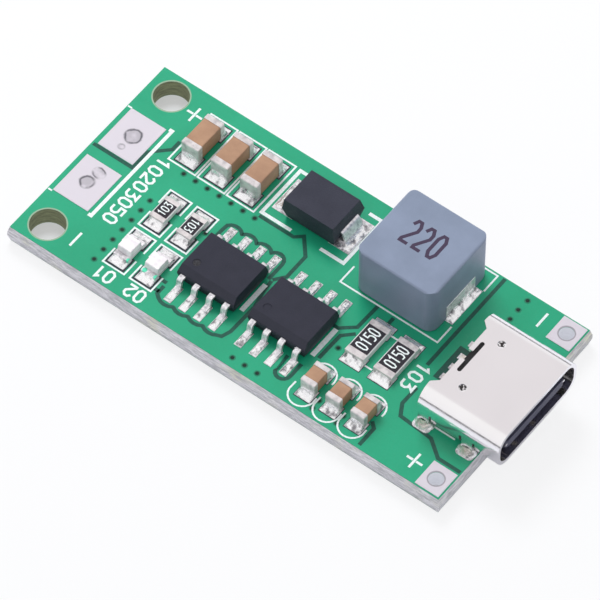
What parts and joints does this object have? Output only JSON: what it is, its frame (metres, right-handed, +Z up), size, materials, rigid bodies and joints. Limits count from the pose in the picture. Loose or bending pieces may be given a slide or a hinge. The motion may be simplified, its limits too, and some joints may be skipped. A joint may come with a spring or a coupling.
{
  "type": "lithium battery charger module",
  "caption": "Small green circuit board that charges a two-cell lithium pack from a reversible charging socket, with control chips, power inductor, diode and solder pads for the wires.",
  "frame": {"origin": "under the middle of the module's bounding box, on the lower face of the board", "axes": "+X along the board from the battery pads to the charging socket, +Y across the board towards the inductor's side, +Z up out of the component side"},
  "size_m": [0.0386, 0.0176, 0.0061],
  "materials": {
    "laminate": "green solder mask over glass-epoxy laminate",
    "tinned_copper": "tinned copper",
    "solder": "bright solder",
    "chip_moulding": "fine matt epoxy",
    "lead_tin": "tin plated",
    "diode_moulding": "matt epoxy",
    "pressed_iron": "pressed iron powder with grey-blue coat",
    "capacitor_ceramic": "fired ceramic",
    "end_metal": "tin plated ends",
    "alumina": "white alumina",
    "resistor_coat": "black glass coat",
    "light_base": "white laminate",
    "clear_lens": "milky clear epoxy",
    "shell_steel": "nickel plated, satin",
    "socket_nylon": "black moulded nylon",
    "contact_plating": "plated copper alloy"
  },
  "bodies": {
    "root": {"circuit_board": "laminate", "battery_pads": "tinned_copper", "input_pads": "tinned_copper", "component_lands": "tinned_copper", "charger_chip_body": "chip_moulding", "charger_chip_leads": "lead_tin", "power_chip_body": "chip_moulding", "power_chip_leads": "lead_tin", "diode_body": "diode_moulding", "diode_tabs": "lead_tin", "inductor_core": "pressed_iron", "inductor_terminals": "lead_tin", "large_capacitor_1_body": "capacitor_ceramic", "large_capacitor_1_ends": "end_metal", "large_capacitor_2_body": "capacitor_ceramic", "large_capacitor_2_ends": "end_metal", "large_capacitor_3_body": "capacitor_ceramic", "large_capacitor_3_ends": "end_metal", "small_capacitor_1_body": "capacitor_ceramic", "small_capacitor_1_ends": "end_metal", "small_capacitor_2_body": "capacitor_ceramic", "small_capacitor_2_ends": "end_metal", "small_capacitor_3_body": "capacitor_ceramic", "small_capacitor_3_ends": "end_metal", "small_resistor_1_body": "alumina", "small_resistor_1_coat": "resistor_coat", "small_resistor_1_ends": "end_metal", "small_resistor_2_body": "alumina", "small_resistor_2_coat": "resistor_coat", "small_resistor_2_ends": "end_metal", "sense_resistor_1_body": "alumina", "sense_resistor_1_coat": "resistor_coat", "sense_resistor_1_ends": "end_metal", "sense_resistor_2_body": "alumina", "sense_resistor_2_coat": "resistor_coat", "sense_resistor_2_ends": "end_metal", "status_light_1_base": "light_base", "status_light_1_lens": "clear_lens", "status_light_1_ends": "end_metal", "status_light_2_base": "light_base", "status_light_2_lens": "clear_lens", "status_light_2_ends": "end_metal", "socket_shell": "shell_steel", "socket_moulding": "socket_nylon", "socket_contacts": "contact_plating", "socket_mid_plate": "shell_steel", "chip_solder": "solder", "diode_solder": "solder", "inductor_solder": "solder", "capacitor_solder": "solder", "resistor_solder": "solder", "status_light_solder": "solder", "socket_solder": "solder"}
  },
  "joints": []
}
